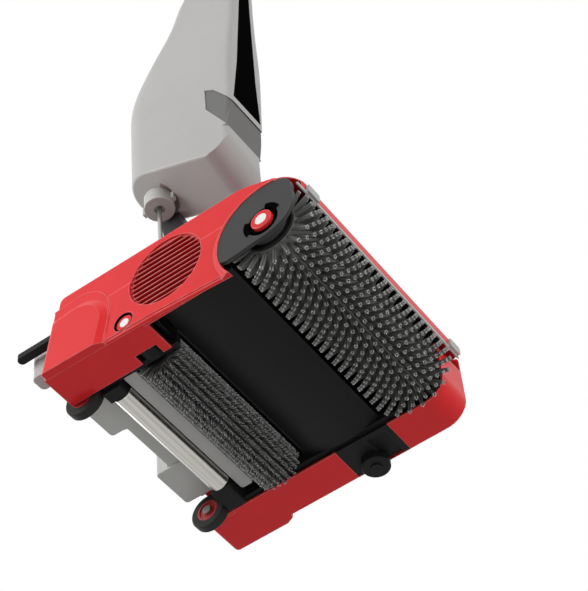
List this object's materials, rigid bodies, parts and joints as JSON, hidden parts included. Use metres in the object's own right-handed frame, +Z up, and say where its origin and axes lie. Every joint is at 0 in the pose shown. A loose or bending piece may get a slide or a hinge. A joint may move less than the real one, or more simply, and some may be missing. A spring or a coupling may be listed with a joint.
{
  "type": "cylindrical floor scrubber",
  "caption": "Upright battery floor scrubber with counter-turning cylindrical brushes, drying roller, slide-out recovery tank, tilting column with a solution tank, and a looped grip.",
  "frame": {"origin": "on the floor, under the middle of the whole machine with its column upright", "axes": "+X to the machine's left, +Y to its rear, +Z up"},
  "size_m": [0.372, 0.4165, 1.1824],
  "materials": {
    "red_plastic": "glossy moulded red",
    "dark_red_plastic": "satin dark red",
    "black_plastic": "satin black",
    "dark_grey_plastic": "satin dark grey",
    "light_grey_plastic": "satin light grey",
    "tank_grey_plastic": "satin mid grey",
    "white_plastic": "glossy white",
    "nylon_bristles": "nylon bristles",
    "polished_steel": "polished",
    "steel": "turned",
    "motor_case": "cast",
    "belt_rubber": "moulded",
    "tyre_rubber": "matt",
    "grip_rubber": "soft touch"
  },
  "bodies": {
    "head": {"chassis": "black_plastic", "top_cover": "red_plastic", "right_side_cover": "red_plastic", "left_side_cover": "red_plastic", "vent_grille": "dark_red_plastic", "motor_guard": "black_plastic", "front_lip": "light_grey_plastic", "end_plate": "dark_grey_plastic", "front_lock_ring": "black_plastic", "rear_lock_ring": "black_plastic", "brush_bearings": "steel", "motor_can": "motor_case", "drive_belt": "belt_rubber", "wheel_bolts": "steel", "roller_brackets": "black_plastic", "ramp": "light_grey_plastic", "foot_lever_pin": "steel", "guide_roller_pin": "steel", "guide_roller_bracket": "black_plastic", "hinge_bracket": "dark_grey_plastic", "hinge_pin": "steel", "hinge_screws": "steel"},
    "front_brush": {"front_brush_bristles": "nylon_bristles", "front_brush_core": "black_plastic", "front_brush_shaft": "steel", "front_pulley": "black_plastic"},
    "rear_brush": {"rear_brush_bristles": "nylon_bristles", "rear_brush_core": "black_plastic", "rear_brush_shaft": "steel", "rear_pulley": "black_plastic"},
    "motor_rotor": {"motor_shaft": "steel", "motor_pulley": "black_plastic"},
    "idler": {"idler_pulley": "black_plastic"},
    "front_button": {"front_release_button": "red_plastic", "front_button_insert": "white_plastic"},
    "rear_button": {"rear_release_button": "red_plastic", "rear_button_insert": "white_plastic"},
    "right_wheel": {"right_wheel_tyre": "tyre_rubber", "right_wheel_hub": "dark_red_plastic"},
    "left_wheel": {"left_wheel_tyre": "tyre_rubber", "left_wheel_hub": "dark_red_plastic"},
    "roller": {"drying_roller": "polished_steel", "roller_shaft": "steel"},
    "tank": {"recovery_tank": "tank_grey_plastic"},
    "lever": {"foot_lever": "black_plastic"},
    "guide": {"guide_roller": "black_plastic"},
    "handle": {"neck": "dark_grey_plastic", "feed_pipe": "steel", "column_shell": "light_grey_plastic", "column_band": "dark_grey_plastic", "front_cover": "black_plastic", "battery_pack": "black_plastic", "handle_tube": "motor_case", "grip": "grip_rubber", "control_panel": "black_plastic"},
    "outlet_cap": {"outlet_cap": "tank_grey_plastic"},
    "filler_cap": {"filler_cap": "black_plastic"},
    "trigger": {"trigger": "red_plastic"},
    "power_button": {"power_button": "red_plastic"}
  },
  "joints": [
    {"name": "front_brush_spin", "type": "hinge", "parent": "head", "child": "front_brush", "pos_m": [0, -0.1535, 0.055], "axis": [1, 0, 0], "continuous": true},
    {"name": "rear_brush_spin", "type": "hinge", "parent": "head", "child": "rear_brush", "pos_m": [0, 0.0405, 0.031], "axis": [1, 0, 0], "continuous": true},
    {"name": "motor_spin", "type": "hinge", "parent": "head", "child": "motor_rotor", "pos_m": [0, -0.0265, 0.08], "axis": [1, 0, 0], "continuous": true},
    {"name": "idler_spin", "type": "hinge", "parent": "head", "child": "idler", "pos_m": [0, 0.0925, 0.042], "axis": [1, 0, 0], "continuous": true},
    {"name": "right_wheel_spin", "type": "hinge", "parent": "head", "child": "right_wheel", "pos_m": [0, 0.144, 0.0245], "axis": [1, 0, 0], "continuous": true},
    {"name": "left_wheel_spin", "type": "hinge", "parent": "head", "child": "left_wheel", "pos_m": [0, 0.144, 0.0245], "axis": [1, 0, 0], "continuous": true},
    {"name": "drying_roller_spin", "type": "hinge", "parent": "head", "child": "roller", "pos_m": [0, 0.104, 0.025], "axis": [1, 0, 0], "continuous": true},
    {"name": "guide_roller_spin", "type": "hinge", "parent": "head", "child": "guide", "pos_m": [0.1664, -0.0625, 0.012], "axis": [0, 0, 1], "continuous": true},
    {"name": "recovery_tank_slide", "type": "slide", "parent": "head", "child": "tank", "axis": [0, 1, 0], "range_m": [0, 0.18]},
    {"name": "handle_tilt", "type": "hinge", "parent": "head", "child": "handle", "pos_m": [0, 0.0755, 0.17], "axis": [-1, 0, 0], "range_deg": [0, 60]},
    {"name": "foot_lever_press", "type": "hinge", "parent": "head", "child": "lever", "pos_m": [-0.1615, 0.1245, 0.1], "axis": [-1, 0, 0], "range_deg": [0, 12], "stiffness_Nm_per_rad": 3},
    {"name": "front_button_press", "type": "slide", "parent": "head", "child": "front_button", "axis": [1, 0, 0], "range_m": [0, 0.0018], "stiffness_N_per_m": 400},
    {"name": "rear_button_press", "type": "slide", "parent": "head", "child": "rear_button", "axis": [1, 0, 0], "range_m": [0, 0.0018], "stiffness_N_per_m": 400},
    {"name": "outlet_cap_turn", "type": "hinge", "parent": "handle", "child": "outlet_cap", "pos_m": [0, 0.1175, 0.49], "axis": [0, 0, 1], "range_deg": [0, 40]},
    {"name": "filler_cap_pull", "type": "slide", "parent": "handle", "child": "filler_cap", "axis": [1, 0, 0], "range_m": [0, 0.06]},
    {"name": "trigger_squeeze", "type": "hinge", "parent": "handle", "child": "trigger", "pos_m": [0, 0.05171, 1.14952], "axis": [1, 0, 0], "range_deg": [0, 6], "stiffness_Nm_per_rad": 2},
    {"name": "power_button_press", "type": "slide", "parent": "handle", "child": "power_button", "axis": [0, 0.1736, -0.9848], "range_m": [0, 0.0015], "stiffness_N_per_m": 400}
  ],
  "couplings": [
    {"joint": "rear_brush_spin", "follows": "front_brush_spin", "ratio": -2.2},
    {"joint": "motor_spin", "follows": "front_brush_spin", "ratio": 2.2},
    {"joint": "idler_spin", "follows": "front_brush_spin", "ratio": 2.2}
  ]
}
